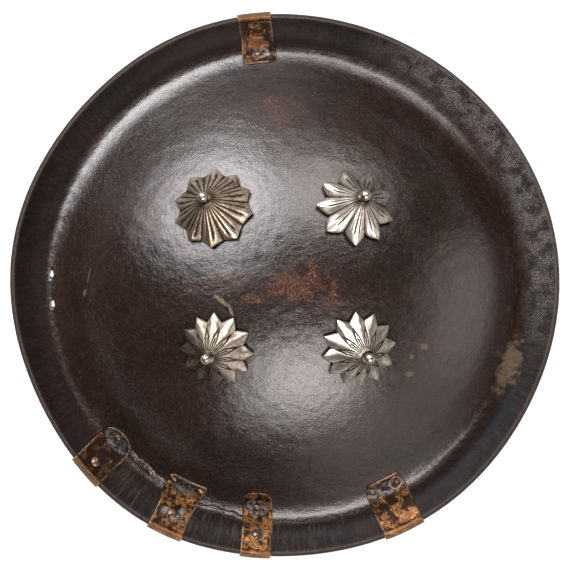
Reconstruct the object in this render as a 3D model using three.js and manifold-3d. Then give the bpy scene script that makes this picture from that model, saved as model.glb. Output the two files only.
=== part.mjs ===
// Round shield of lacquered hide: a deep dome with a recurved brim, four hollow
// flower-shaped metal bosses held by ball-headed bolts, and five metal repair
// straps folded over the rim and riveted. Millimetres, +Z up. The shield lies
// face up, with the dome's crown over the origin and its lowest points at z = 0.

import * as THREE from 'three';
import { mergeVertices } from 'three/addons/utils/BufferGeometryUtils.js';
import Module from 'manifold-3d';

const wasm = await Module();
wasm.setup();

// Driving sizes
const RIM_RADIUS = 250; // mean radius of the outline
const HIDE_THICKNESS = 6;
const BRIM_TILT = 38; // degrees, at the rim
const STRAP_THICKNESS = 1.2;
const STRAP_GAP = 0.4; // from a strap to the hide
const FIT_GAP = 0.3; // between any other neighbours
const HOLE_REACH = 2 * HIDE_THICKNESS; // of the tools that cut holes, either way
const HIDE_SIDES = 54;
const BOLT_SIDES = 8; // also of washers and their holes
const RIVET_SIDES = 6;

// The face in section, from crown to rim, is a chain of tangent arcs. Each row
// gives the radius where an arc ends and how steeply the face falls there.
const FACE_END = RIM_RADIUS - HIDE_THICKNESS * Math.sin(radians(BRIM_TILT));
const FACE_STATIONS = [
  { radius: 0, fall: 0 }, // crown
  { radius: 175, fall: 39 }, // end of the spherical dome
  { radius: 200, fall: 36 },
  { radius: 211, fall: 20 }, // foot of the dome
  { radius: 216.5, fall: 0 }, // valley, flat for 5 mm
  { radius: 221.5, fall: 0 },
  { radius: 232, fall: -25 },
  { radius: FACE_END, fall: -BRIM_TILT },
];
const VALLEY = { inner: 216.5, outer: 221.5 };
const VALLEY_FACE_Z = HIDE_THICKNESS + STRAP_GAP + STRAP_THICKNESS;
const DOME_SPHERE = 175 / Math.sin(radians(39));

// Radii where the faceted section has its corners
const FOOT_RINGS = [175, 200, 211, 216.5, 221.5, 232, FACE_END];
const FACE_RINGS = [0, 36, 72, 108, 142, ...FOOT_RINGS];
const BACK_RINGS = [0, 45, 80, 100, 140, ...FOOT_RINGS];

// The outline was cut by hand: waves round the rim, with height in mm and the
// azimuth of a crest in degrees
const RIM_WAVES = [
  { count: 2, height: 1.0, crest: 12 },
  { count: 3, height: 0.7, crest: 8 },
  { count: 4, height: 0.45, crest: -19 },
  { count: 5, height: 1.1, crest: 118 },
  { count: 6, height: 0.65, crest: -17 },
];

// Two oval holes through the foot of the dome, near the left edge
const OVAL_HOLE = { width: 4.8, height: 6.8, radius: 213 };
const OVAL_HOLE_AZIMUTHS = [177, 184.4];
const OVAL_HOLE_SIDES = 12;

// Cracks in the face between the lower straps, as azimuth and radius
const CRACK_WIDTH = 1.8;
const CRACK_DEPTH = 2.2;
const CRACKS = [
  [[226.5, 207.5], [229.5, 209], [232, 208], [235, 210.5], [237.5, 212], [240.5, 214]],
  [[247, 215.5], [250, 214], [252.5, 211.5], [255, 212.5], [257.5, 213], [260.5, 216]],
];

// Bosses: place on the shield, petal tips as azimuths seen from above, radius at
// the tips, notch radius as a share of it, how pointed the petals are, and how
// deep their grooves are as a share of the petals' rise
const BOSS_WALL = 1.5; // at the tips
const APEX_WALL = 2.4;
const BOSS_HEIGHT = 31;
const CONE_SLOPE = 0.8; // share of the fall from the apex that is straight
const BOSS_RISE = 1.9; // crown of a petal above the valleys beside it
const RISE_SPAN = { from: 0.1, to: 0.75 }; // shares of the radius
const CROWN_ROUNDNESS = 0.8;
const PETAL_GROOVE = { across: 1 / 3, width: 1 / 4 };
const TIP_LIFT = 1.8;
const LIFT_TAPER = 1.5; // away from the tip's line
const LIFT_SPAN = { from: 0.7, to: 1 };
const UNDER_RINGS = [0.45, 1]; // shares of the radius, outside the bolt's hole
const OVER_RINGS = [1, 0.86, 0.62, 0.34];
const BOSSES = [
  {
    name: 'upper_left', x: -62.3, y: 68, tipRadius: 36.5, notch: 0.85, point: 1.5, groove: 0.5,
    tips: [87, 55, 26, -7, -52, -93, -127, -159, -192, -233], columns: 6,
  },
  {
    name: 'upper_right', x: 61.9, y: 69.1, tipRadius: 35.5, notch: 0.7, point: 0.9, groove: 0.6,
    tips: [177.5, 144, 106, 67, 21, -19, -54, -90, -140], columns: 6,
  },
  {
    name: 'lower_left', x: -59.7, y: -55.5, tipRadius: 33.5, notch: 0.76, point: 1.3, groove: 0.3,
    tips: [148, 121, 93, 61, 28, -6, -34, -60, -90, -121, -152, -182], columns: 4,
  },
  {
    name: 'lower_right', x: 64.8, y: -55.2, tipRadius: 34, notch: 0.76, point: 1.3, groove: 0.3,
    tips: [160, 126.5, 95, 67, 38.5, 10, -24, -58.5, -87, -113, -140, -167], columns: 4,
  },
];

// Bolt through each boss, with a ball on a collar in front and a washer behind
const BOLT_SHANK = 2.6;
const BALL_RADIUS = 4.9;
const BALL_REACH = 0.8; // height of its middle above the neck, in radii
const BALL_CORNERS = [-50, -15, 20, 55]; // degrees above its middle
const COLLAR = { radius: 6.2, thickness: 1.2, bevel: 0.4 };
const NECK = { radius: 3.1, height: 0.5 };
const WASHER = { radius: 8, thickness: 1.5 };
const WASHER_SEAT = 0.7; // clear of the hide's hollow back
const PEENED_END = { radius: 5.2, height: 2.2 };
const PEENED_SHOULDER = { radius: 0.7, height: 0.75 }; // shares of its size

// Straps: azimuth of the middle, then how far the strap reaches to either side at
// a distance out from the shield's axis, from the inner end outward, and its rivets
const RIVET = { shank: 1.5, head: 3.2, rise: 1.6, back: 2.6, backRise: 0.8 };
const LARGE_HEAD = { head: 5, rise: 2.2 };
const HEAD_SHOULDER = { radius: 0.75, rise: 0.7 }; // shares of the head's size
const HOLLOW_UNDER_HEAD = 12; // radius of the bend that the heads bridge
const STRAPS = [
  {
    name: 'top', azimuth: 96.4,
    outline: [
      { out: 205, from: -11, to: 12 }, { out: 207.5, from: -15.5, to: 15 },
      { out: 224, from: -15, to: 14.5 }, { out: 246, from: -15, to: 15.5 },
    ],
    rivets: [{ across: 0.5, out: 213.5, flush: true }],
  },
  {
    name: 'left', azimuth: 223.2,
    outline: [
      { out: 199.5, from: -5, to: 4 }, { out: 204, from: -14, to: 12 },
      { out: 210, from: -18.5, to: 15 }, { out: 246, from: -17.5, to: 16 },
    ],
    rivets: [{ across: -3, out: 206.5 }, { across: -1, out: 236.5, large: true }],
  },
  {
    name: 'lower_left', azimuth: 244.2,
    outline: [
      { out: 196.5, from: -14, to: 16 }, { out: 199.5, from: -19.5, to: 17.5 },
      { out: 204.5, from: -17.5, to: 17 }, { out: 208, from: -20.5, to: 16 },
      { out: 226, from: -17.5, to: 14.5 }, { out: 246, from: -17.5, to: 15.5 },
    ],
    rivets: [
      { across: 12.5, out: 202.5 }, { across: -14, out: 203 },
      { across: -2, out: 232.5, large: true },
    ],
  },
  {
    name: 'bottom', azimuth: 264.1,
    outline: [
      { out: 190.5, from: -8, to: 0 }, { out: 194, from: -16, to: 7 },
      { out: 201, from: -17.8, to: 9.5 }, { out: 246, from: -15.5, to: 12.5 },
    ],
    rivets: [{ across: -4.5, out: 204 }, { across: -2.5, out: 230 }],
  },
  {
    name: 'lower_right', azimuth: 296.2,
    outline: [
      { out: 198, from: -12.5, to: 16.5 }, { out: 203, from: -16, to: 19 },
      { out: 214, from: -18.5, to: 20 }, { out: 246, from: -19, to: 19.5 },
    ],
    rivets: [{ across: -11, out: 204.5 }, { across: 13.5, out: 206 }],
  },
];

// Finishes
const LACQUERED_HIDE = { color: 0x2b2321, roughness: 0.42, metalness: 0 };
const SILVERED_METAL = { color: 0xa39a8a, roughness: 0.32, metalness: 0.9 };
const IRON = { color: 0x4a4440, roughness: 0.6, metalness: 0.8 };
const COPPER_ALLOY = { color: 0x9a6230, roughness: 0.45, metalness: 0.85 };

function radians(degrees) {
  return (degrees * Math.PI) / 180;
}

// Solids

function closedGeometry(geometry) {
  const bare = geometry.clone();
  bare.deleteAttribute('normal');
  bare.deleteAttribute('uv');
  const merged = mergeVertices(bare, 1e-4);
  const corners = merged.index.array;
  const kept = [];
  for (let i = 0; i < corners.length; i += 3) {
    const [a, b, c] = [corners[i], corners[i + 1], corners[i + 2]];
    if (a !== b && b !== c && c !== a) kept.push(a, b, c);
  }
  merged.setIndex(kept);
  return merged;
}

function toSolid(geometry) {
  const closed = closedGeometry(geometry);
  return new wasm.Manifold(new wasm.Mesh({
    numProp: 3,
    vertProperties: new Float32Array(closed.attributes.position.array),
    triVerts: new Uint32Array(closed.index.array),
  }));
}

function toGeometry(solid) {
  const mesh = solid.getMesh();
  const geometry = new THREE.BufferGeometry();
  geometry.setAttribute('position', new THREE.BufferAttribute(mesh.vertProperties, 3));
  geometry.setIndex(new THREE.BufferAttribute(mesh.triVerts, 1));
  return geometry;
}

function part(name, geometry, finish) {
  const closed = closedGeometry(geometry);
  closed.computeVertexNormals();
  const mesh = new THREE.Mesh(closed, new THREE.MeshStandardMaterial(finish));
  mesh.name = name;
  return mesh;
}

// Moves every vertex of a geometry to the point that place(vertex) gives
function reshape(geometry, place) {
  const position = geometry.attributes.position;
  const vertex = new THREE.Vector3();
  for (let i = 0; i < position.count; i++) {
    vertex.fromBufferAttribute(position, i);
    const moved = place(vertex, i);
    position.setXYZ(i, moved.x, moved.y, moved.z);
  }
  return geometry;
}

// A turned solid about Z, from a section of [radius, height] points
function turned(section, sides) {
  const points = section.map(([radius, height]) => new THREE.Vector2(radius, height));
  return new THREE.LatheGeometry(points, sides).rotateX(Math.PI / 2);
}

// The shield's surface

function faceArcs() {
  const arcs = [];
  let z = 0;
  for (let i = 1; i < FACE_STATIONS.length; i++) {
    const [from, to] = [FACE_STATIONS[i - 1], FACE_STATIONS[i]];
    const sine = Math.sin(radians(from.fall));
    const bend = (Math.sin(radians(to.fall)) - sine) / (to.radius - from.radius);
    const arc = { from: from.radius, to: to.radius, sine, bend, z };
    arcs.push(arc);
    z = heightOn(arc, to.radius);
  }
  return arcs;
}

function heightOn(arc, radius) {
  const start = Math.asin(arc.sine);
  const run = radius - arc.from;
  if (Math.abs(arc.bend) < 1e-9) return arc.z - Math.tan(start) * run;
  const end = Math.asin(arc.sine + arc.bend * run);
  return arc.z + (Math.cos(end) - Math.cos(start)) / arc.bend;
}

const ARCS = faceArcs();
const CROWN_Z = VALLEY_FACE_Z - ARCS.find((arc) => arc.from === VALLEY.inner).z;

// Point of the section at a radius on the face, and at a depth below it
function sectionPoint(radius, depth = 0) {
  const arc = ARCS.find((candidate) => radius <= candidate.to) ?? ARCS.at(-1);
  const fall = Math.asin(arc.sine + arc.bend * (radius - arc.from));
  return {
    r: radius - depth * Math.sin(fall),
    z: CROWN_Z + heightOn(arc, radius) - depth * Math.cos(fall),
    fall,
  };
}

function outlineFactor(azimuth) {
  let factor = 1;
  for (const wave of RIM_WAVES) {
    factor += (wave.height / RIM_RADIUS) * Math.cos(wave.count * azimuth - radians(wave.crest));
  }
  return factor;
}

function aroundAxis(radius, azimuth, z) {
  const reach = radius * outlineFactor(azimuth);
  return new THREE.Vector3(reach * Math.cos(azimuth), reach * Math.sin(azimuth), z);
}

// Frame on the face: +Z is the outward normal, +X runs outward down the dome
function seatOnFace(radius, azimuth) {
  const { r, z, fall } = sectionPoint(radius);
  const seat = new THREE.Group();
  seat.position.copy(aroundAxis(r, azimuth, z));
  seat.rotation.set(0, fall, azimuth, 'ZYX');
  seat.updateMatrixWorld();
  return seat;
}

// Hide

function roundHole(seat, radius, sides) {
  const section = [[0, -HOLE_REACH], [radius, -HOLE_REACH], [radius, HOLE_REACH], [0, HOLE_REACH]];
  return toSolid(turned(section, sides).applyMatrix4(seat.matrixWorld));
}

function boltHole(seat) {
  return roundHole(seat, BOLT_SHANK + FIT_GAP, BOLT_SIDES);
}

function rivetHole(seat) {
  return roundHole(seat, RIVET.shank + FIT_GAP, RIVET_SIDES);
}

function ovalHole(azimuth) {
  const seat = seatOnFace(OVAL_HOLE.radius, azimuth);
  const half = OVAL_HOLE.width / 2;
  const section = [[0, -HOLE_REACH], [half, -HOLE_REACH], [half, HOLE_REACH], [0, HOLE_REACH]];
  const hole = turned(section, OVAL_HOLE_SIDES).scale(1, OVAL_HOLE.height / OVAL_HOLE.width, 1);
  return toSolid(hole.applyMatrix4(seat.matrixWorld));
}

// A V-shaped groove that follows the face along a crack's path
function crackGroove(path) {
  const places = path.map(([azimuth, radius]) => new THREE.Vector2(azimuth, radius));
  const curve = new THREE.SplineCurve(places);
  const steps = path.length - 1;
  const section = new THREE.Shape([
    new THREE.Vector2(-CRACK_WIDTH, CRACK_DEPTH),
    new THREE.Vector2(0, -CRACK_DEPTH),
    new THREE.Vector2(CRACK_WIDTH, CRACK_DEPTH),
  ]);
  const groove = new THREE.ExtrudeGeometry(section, { depth: 1, steps, bevelEnabled: false });
  return toSolid(reshape(groove, (vertex) => {
    const along = curve.getPoint(THREE.MathUtils.clamp(vertex.z, 0, 1));
    const point = sectionPoint(along.y - vertex.x);
    return aroundAxis(point.r, radians(along.x), point.z + vertex.y);
  }));
}

function hideGeometry(boltSeats, rivetSeats) {
  const section = [
    ...BACK_RINGS.map((radius) => sectionPoint(radius, HIDE_THICKNESS)),
    ...FACE_RINGS.toReversed().map((radius) => sectionPoint(radius)),
  ].map(({ r, z }) => [r, z]);
  const disc = reshape(turned(section, HIDE_SIDES), (vertex) => (
    aroundAxis(Math.hypot(vertex.x, vertex.y), Math.atan2(vertex.y, vertex.x), vertex.z)
  ));
  let hide = toSolid(disc);
  for (const azimuth of OVAL_HOLE_AZIMUTHS) hide = hide.subtract(ovalHole(radians(azimuth)));
  for (const path of CRACKS) hide = hide.subtract(crackGroove(path));
  for (const seat of boltSeats) hide = hide.subtract(boltHole(seat));
  for (const seat of rivetSeats) hide = hide.subtract(rivetHole(seat));
  return toGeometry(hide);
}

// Bosses

// How far below a boss's seat the dome lies at a distance from the boss's middle
function domeDrop(distance) {
  return DOME_SPHERE - Math.sqrt(DOME_SPHERE ** 2 - distance ** 2);
}

// Angle of a petal tip in the boss's own plane, from its azimuth seen from above
function tipAngle(tip, azimuth, fall) {
  const seen = radians(tip) - azimuth;
  return Math.atan2(Math.sin(seen) * Math.cos(fall), Math.cos(seen));
}

// Angle of each column of vertices, and its place across its petal: 0 on the
// tip's line, 1 in the valley between two petals
function petalColumns(boss, azimuth, fall) {
  const angles = boss.tips.map((tip) => tipAngle(tip, azimuth, fall));
  const turn = 2 * Math.PI;
  const columns = [];
  for (let petal = 0; petal < angles.length; petal++) {
    const next = angles[(petal + 1) % angles.length];
    const step = -((((angles[petal] - next) % turn) + turn) % turn);
    for (let i = 0; i < boss.columns; i++) {
      const share = i / boss.columns;
      columns.push({ angle: angles[petal] + step * share, across: 1 - Math.abs(1 - 2 * share) });
    }
  }
  return columns.reverse();
}

// Height of a petal across its width: a rounded crown with a groove beside its middle
function petalCrown(across, depth) {
  const crown = (1 - across ** 2) ** CROWN_ROUNDNESS;
  const groove = 1 - Math.abs(across - PETAL_GROOVE.across) / PETAL_GROOVE.width;
  return crown - depth * Math.max(0, groove);
}

// How far along a span of the radius a share of it is, eased at both ends
function easedAlong(span, share) {
  return THREE.MathUtils.smoothstep(share, span.from, span.to);
}

function petalPoint(boss, column, share, wall) {
  const notchRadius = boss.tipRadius * boss.notch;
  const reach = (boss.tipRadius - notchRadius) * (1 - column.across) ** boss.point;
  const distance = share * (notchRadius + reach * share ** 2);
  const fallen = share * THREE.MathUtils.lerp(CONE_SLOPE, 1, share);
  const cone = (BOSS_HEIGHT - BOSS_WALL) * (1 - fallen);
  const crown = BOSS_RISE * easedAlong(RISE_SPAN, share) * petalCrown(column.across, boss.groove);
  const lift = TIP_LIFT * easedAlong(LIFT_SPAN, share) * (1 - column.across) ** LIFT_TAPER;
  return new THREE.Vector3(
    distance * Math.cos(column.angle),
    distance * Math.sin(column.angle),
    FIT_GAP + cone + crown + lift + wall - domeDrop(distance),
  );
}

function bossGeometry(boss, azimuth, fall) {
  const columns = petalColumns(boss, azimuth, fall);
  const hole = (BOLT_SHANK + FIT_GAP) / (boss.tipRadius * boss.notch);
  const under = [hole, ...UNDER_RINGS].map((share) => ({ share, wall: 0 }));
  const over = [...OVER_RINGS, hole].map((share) => (
    { share, wall: THREE.MathUtils.lerp(APEX_WALL, BOSS_WALL, share) }
  ));
  const section = [...under, ...over, under[0]];
  const blank = turned(section.map((station) => [station.share, station.wall]), columns.length);
  return reshape(blank, (vertex, i) => {
    const column = columns[Math.floor(i / section.length) % columns.length];
    const station = section[i % section.length];
    return petalPoint(boss, column, station.share, station.wall);
  });
}

function boltGeometry() {
  const apex = BOSS_HEIGHT - BOSS_WALL + APEX_WALL + 2 * FIT_GAP;
  const washerBack = -(HIDE_THICKNESS + WASHER_SEAT + WASHER.thickness);
  const seat = washerBack - FIT_GAP;
  const collarTop = apex + COLLAR.thickness;
  const ballCentre = collarTop + NECK.height + BALL_RADIUS * BALL_REACH;
  const ball = BALL_CORNERS.map((angle) => [
    BALL_RADIUS * Math.cos(radians(angle)),
    ballCentre + BALL_RADIUS * Math.sin(radians(angle)),
  ]);
  return turned([
    [0, seat - PEENED_END.height],
    [PEENED_END.radius * PEENED_SHOULDER.radius, seat - PEENED_END.height * PEENED_SHOULDER.height],
    [PEENED_END.radius, seat], [BOLT_SHANK, seat], [BOLT_SHANK, apex],
    [COLLAR.radius, apex], [COLLAR.radius - COLLAR.bevel, collarTop], [NECK.radius, collarTop],
    ...ball, [0, ballCentre + BALL_RADIUS],
  ], BOLT_SIDES);
}

function washerGeometry() {
  const top = -(HIDE_THICKNESS + WASHER_SEAT);
  const bottom = top - WASHER.thickness;
  const hole = BOLT_SHANK + FIT_GAP;
  const section = [
    [hole, bottom], [WASHER.radius, bottom], [WASHER.radius, top], [hole, top], [hole, bottom],
  ];
  return turned(section, BOLT_SIDES);
}

function buildBoss(boss) {
  const radius = Math.hypot(boss.x, boss.y);
  const azimuth = Math.atan2(boss.y, boss.x);
  const seat = seatOnFace(radius / outlineFactor(azimuth), azimuth);
  const { fall } = sectionPoint(radius);
  seat.add(part(`boss_${boss.name}`, bossGeometry(boss, azimuth, fall), SILVERED_METAL));
  seat.add(part(`boss_bolt_${boss.name}`, boltGeometry(), SILVERED_METAL));
  seat.add(part(`boss_washer_${boss.name}`, washerGeometry(), IRON));
  return seat;
}

// Straps

// One leg of a strap: corners of the hide's section from the strap's inner end to
// the rim, each with the strap's width there
function strapLeg(strap, rings, depth) {
  const ends = strap.outline.map(({ out }) => out);
  const radii = [...ends, ...rings.filter((radius) => !ends.includes(radius))]
    .filter((radius) => radius >= ends[0] && radius <= FACE_END)
    .sort((a, b) => a - b);
  return radii.map((radius) => ({
    ...onChord(rings, radius, depth),
    ...strapWidth(strap.outline, radius),
  }));
}

// Point of the faceted section, straight between the corners at two rings
function onChord(rings, radius, depth) {
  const next = Math.max(1, rings.findIndex((ring) => ring >= radius));
  const [start, end] = [rings[next - 1], rings[next]].map((ring) => sectionPoint(ring, depth));
  const share = (radius - rings[next - 1]) / (rings[next] - rings[next - 1]);
  return {
    r: THREE.MathUtils.lerp(start.r, end.r, share),
    z: THREE.MathUtils.lerp(start.z, end.z, share),
  };
}

function strapWidth(outline, radius) {
  const next = Math.max(1, outline.findIndex(({ out }) => out >= radius));
  const [start, end] = radius > outline.at(-1).out
    ? [outline.at(-1), outline.at(-1)]
    : [outline[next - 1], outline[next]];
  const share = end.out > start.out ? (radius - start.out) / (end.out - start.out) : 0;
  return {
    from: THREE.MathUtils.lerp(start.from, end.from, share),
    to: THREE.MathUtils.lerp(start.to, end.to, share),
  };
}

// Adds to each corner of a line the mitred direction square to it, on its left
function withNormals(line) {
  const normals = line.slice(1).map((point, i) => {
    const [dr, dz] = [point.r - line[i].r, point.z - line[i].z];
    const length = Math.hypot(dr, dz);
    return new THREE.Vector2(-dz / length, dr / length);
  });
  return line.map((point, i) => {
    const before = normals[Math.max(0, i - 1)];
    const after = normals[Math.min(normals.length - 1, i)];
    const off = before.clone().add(after).divideScalar(1 + before.dot(after));
    return { ...point, off };
  });
}

// Path of a strap: out along the face, round the cut edge, and in along the back,
// as corners with the direction in which the strap lies off the hide
function strapPath(strap) {
  const face = strapLeg(strap, FACE_RINGS, 0);
  const back = strapLeg(strap, BACK_RINGS, HIDE_THICKNESS).reverse();
  return withNormals([...face, ...back]);
}

function strapGeometry(strap, rivetSeats) {
  const path = strapPath(strap);
  const blank = new THREE.BoxGeometry(2, 2, 1, 2, path.length - 1, 1);
  const bent = reshape(blank, (vertex) => {
    const corner = path[Math.round(((1 - vertex.y) / 2) * (path.length - 1))];
    const across = THREE.MathUtils.mapLinear(vertex.x, -1, 1, corner.from, corner.to);
    const lift = STRAP_GAP + (vertex.z > 0 ? STRAP_THICKNESS : 0);
    const azimuth = radians(strap.azimuth) + across / corner.r;
    return aroundAxis(corner.r + corner.off.x * lift, azimuth, corner.z + corner.off.y * lift);
  });
  let solid = toSolid(bent);
  for (const seat of rivetSeats) solid = solid.subtract(rivetHole(seat));
  return toGeometry(solid);
}

function rivetGeometry(rivet) {
  const { head, rise } = rivet.large ? LARGE_HEAD : RIVET;
  const bridge = head ** 2 / (2 * HOLLOW_UNDER_HEAD);
  const seat = STRAP_GAP + STRAP_THICKNESS + FIT_GAP + bridge;
  const end = -(HIDE_THICKNESS + STRAP_GAP + STRAP_THICKNESS);
  const back = rivet.flush
    ? [[0, end + FIT_GAP], [RIVET.shank, end + FIT_GAP]]
    : [
      [0, end - FIT_GAP - RIVET.backRise], [RIVET.back, end - FIT_GAP], [RIVET.shank, end - FIT_GAP],
    ];
  const shoulder = [head * HEAD_SHOULDER.radius, seat + rise * HEAD_SHOULDER.rise];
  const front = [[RIVET.shank, seat], [head, seat], shoulder, [0, seat + rise]];
  return turned([...back, ...front], RIVET_SIDES);
}

function rivetSeat(strap, rivet) {
  const azimuth = radians(strap.azimuth) + Math.atan2(rivet.across, rivet.out);
  return seatOnFace(Math.hypot(rivet.across, rivet.out) / outlineFactor(azimuth), azimuth);
}

// Whole shield

function buildShield() {
  const shield = new THREE.Group();
  const bossGroups = BOSSES.map(buildBoss);
  const allRivetSeats = [];
  for (const strap of STRAPS) {
    const seats = strap.rivets.map((rivet) => rivetSeat(strap, rivet));
    allRivetSeats.push(...seats);
    shield.add(part(`strap_${strap.name}`, strapGeometry(strap, seats), COPPER_ALLOY));
    strap.rivets.forEach((rivet, i) => {
      seats[i].add(part(`rivet_${strap.name}_${i + 1}`, rivetGeometry(rivet), COPPER_ALLOY));
    });
    shield.add(...seats);
  }
  shield.add(part('shield_hide', hideGeometry(bossGroups, allRivetSeats), LACQUERED_HIDE));
  shield.add(...bossGroups);
  return shield;
}

const shield = buildShield();

export default shield;
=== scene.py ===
"""Looks of a round shield of lacquered hide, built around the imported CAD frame.

The shield lies face up. Lengths in the shape functions are in millimetres, as in
the part's own drawing, and meshes are made in metres. Azimuths are in degrees,
counted from +X towards +Y.
"""

import math

import bpy
import numpy as np
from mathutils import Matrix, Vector


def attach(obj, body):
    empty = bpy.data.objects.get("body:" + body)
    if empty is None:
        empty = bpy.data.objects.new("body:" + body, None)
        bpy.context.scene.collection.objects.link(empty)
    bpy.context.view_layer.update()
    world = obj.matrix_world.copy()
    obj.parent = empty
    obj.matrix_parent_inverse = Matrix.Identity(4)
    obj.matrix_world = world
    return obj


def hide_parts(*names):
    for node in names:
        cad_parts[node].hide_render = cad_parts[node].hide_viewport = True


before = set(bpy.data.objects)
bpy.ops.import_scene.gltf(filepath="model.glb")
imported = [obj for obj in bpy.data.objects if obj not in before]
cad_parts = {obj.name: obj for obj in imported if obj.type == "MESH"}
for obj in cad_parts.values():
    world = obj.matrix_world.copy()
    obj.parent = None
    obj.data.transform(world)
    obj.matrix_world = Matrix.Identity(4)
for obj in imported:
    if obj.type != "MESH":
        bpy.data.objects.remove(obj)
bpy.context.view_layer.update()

MM = 0.001

# Shield, as drawn in the part
RIM_RADIUS = 250.0
HIDE_WALL = 6.0
BRIM_TILT = 38.0
STRAP_WALL = 1.2
STRAP_GAP = 0.4
FIT_GAP = 0.3
OUTLINE_EASE = 0.9992  # keeps the smooth outline inside the faceted one
FACE_END = RIM_RADIUS - HIDE_WALL * math.sin(math.radians(BRIM_TILT))
DOME_FOOT = 175
FOOT_FALL = 39
STATION_RADII = np.array([0, DOME_FOOT, 200, 211, 216.5, 221.5, 232, FACE_END])
STATION_FALLS = np.radians([0, FOOT_FALL, 36, 20, 0, 0, -25, -BRIM_TILT])
VALLEY_STATION = 4
VALLEY_FACE_Z = HIDE_WALL + STRAP_GAP + STRAP_WALL
DOME_SPHERE = DOME_FOOT / math.sin(math.radians(FOOT_FALL))
STRAIGHT = 1e-9  # a section that bends less than this is a straight line
RIM_WAVES = [(2, 1.0, 12), (3, 0.7, 8), (4, 0.45, -19), (5, 1.1, 118), (6, 0.65, -17)]

# Photograph, in pixels, and camera
PHOTO_SIZE = 570
OUTLINE_MIDDLE = (284.63, 286.06)
OUTLINE_RADIUS = 273.87
PIXEL = RIM_RADIUS / OUTLINE_RADIUS  # in mm, at the height of the outline
CAMERA_HEIGHT = 1950.0
OUTLINE_HEIGHT = 16.8  # of the lower corner of the cut edge, which is the outline

# Cracks between the lower straps, as azimuth and radius
CRACK_LEFT = [(226.5, 207.5), (229.5, 209), (232, 208), (235, 210.5), (237.5, 212), (240.5, 214)]
CRACK_BOTTOM = [(247, 215.5), (250, 214), (252.5, 211.5), (255, 212.5), (257.5, 213), (260.5, 216)]
OVAL_HOLE = {"width": 4.8, "height": 6.8, "radius": 213.0}
OVAL_HOLE_AZIMUTHS = (177.0, 184.4)

# Bosses: their place, the azimuths of the petals' tips in the photo, how warm the metal
# is and how dark its apex, and the side and strength of the painted shade on one side
BOSS_WALL = 1.5
APEX_WALL = 2.4
BOSS_HEIGHT = 31.0
BOSS_RISE = 1.9
TIP_LIFT = 1.8
BOSSES = [
    dict(name="upper_left", x=-62.3, y=68.0, tip_radius=36.5,
         style="fluted", warmth=0.8, apex=0.7, tarnish=(205, 0.35),
         tips=[87, 55, 26, -7, -52, -93, -127, -159, -192, -233]),
    dict(name="upper_right", x=61.9, y=69.1, tip_radius=35.5,
         style="leaves", warmth=0.3, apex=0.95, tarnish=(50, 0.6),
         tips=[177.5, 144, 106, 67, 21, -19, -54, -90, -140]),
    dict(name="lower_left", x=-59.7, y=-55.5, tip_radius=33.5,
         style="double", warmth=0.65, apex=0.75, tarnish=(212, 0.95),
         tips=[148, 121, 93, 61, 28, -6, -34, -60, -90, -121, -152, -182]),
    dict(name="lower_right", x=64.8, y=-55.2, tip_radius=34.0,
         style="double", warmth=0.4, apex=0.45, tarnish=(335, 0.3),
         tips=[160, 126.5, 95, 67, 38.5, 10, -24, -58.5, -87, -113, -140, -167]),
]
BOLT_SHANK = 2.6
BALL_RADIUS = 4.82
COLLAR = {"radius": 6.2, "thickness": 1.2}
NECK = {"radius": 3.1, "height": 0.5}
WASHER = {"radius": 8.0, "thickness": 1.5}
WASHER_SEAT = 0.7
WASHER_BACK = -(HIDE_WALL + WASHER_SEAT + WASHER["thickness"])
PEENED_END = {"radius": 5.2, "height": 2.2}
DARK_BOLT = (-2 * HIDE_WALL, BOSS_HEIGHT + 4.2)  # heights of its tarnished part

# Straps: outline rows are distance out from the axis and reach to either side; rivets
# have their place across and out, and the kind of their head
RIVET = {"shank": 1.5, "head": 3.2, "rise": 1.6, "back": 2.6, "back_rise": 0.8}
LARGE_HEAD = {"head": 5.0, "rise": 2.2}
STRAPS = [
    dict(name="top", azimuth=96.4,
         outline=[(205, -9, 10), (205.6, -12.5, 13), (207.5, -15.5, 15), (212, -16.5, 15.5),
                  (224, -15, 14.5), (246, -15, 15.5)],
         rivets=[(0.5, 213.5, "flush")],
         grey=[(-2.5, 214, 9.5, 5.2)], bare=[(0, 224, 9, 7)], dirt=0.045),
    dict(name="left", azimuth=223.2,
         outline=[(199.5, -3.5, 2.5), (200.2, -7, 5.5), (201.8, -10.5, 9), (204.5, -14.5, 12.2),
                  (208, -17.3, 14.2), (212, -18.5, 15.2), (246, -17.5, 16)],
         rivets=[(-3, 206.5, "small"), (-1, 236.5, "large")],
         grey=[(-2, 208, 17, 9)], dirt=0.085),
    dict(name="lower_left", azimuth=244.2,
         outline=[(196.5, -13, 15.5), (197.2, -16, 17), (199.5, -19, 17.5), (202, -17.5, 17.3),
                  (204.5, -17, 17), (208, -20.5, 16), (214, -19.5, 15.4), (226, -17.5, 14.5),
                  (246, -17.5, 15.5)],
         rivets=[(12.5, 202.5, "small"), (-14, 203, "small"), (-2, 232.5, "large")],
         grey=[(-4, 203, 15, 8), (-5, 232, 10, 5.5), (5, 229, 4, 7)],
         chips=[(-17, 205), (-17.5, 199)], dirt=0.01),
    dict(name="bottom", azimuth=264.1,
         outline=[(190.5, -7.5, -0.5), (191.2, -11, 2.5), (192.8, -14.2, 5.2), (196, -17, 8.2),
                  (201, -17.8, 9.3), (225, -16, 12), (246, -15.5, 12.5)],
         rivets=[(-4.5, 204, "small"), (-2.5, 230, "small")],
         grey=[(-4.5, 205, 11, 8.5), (-2, 230, 6.5, 6)]),
    dict(name="lower_right", azimuth=296.2,
         outline=[(198, -12.5, 16.5), (199.5, -13.5, 17.5), (203, -16, 19), (209, -17.8, 20),
                  (214, -18.5, 20.3), (246, -19, 19.5)],
         rivets=[(-11, 204.5, "small"), (13.5, 206, "small")],
         grey=[(0, 207, 24, 7.5)], bare=[(8, 240, 9, 5)],
         rings=[(11.5, 206.5, 5.5)], steps=[215], dirt=0.035),
]

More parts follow.
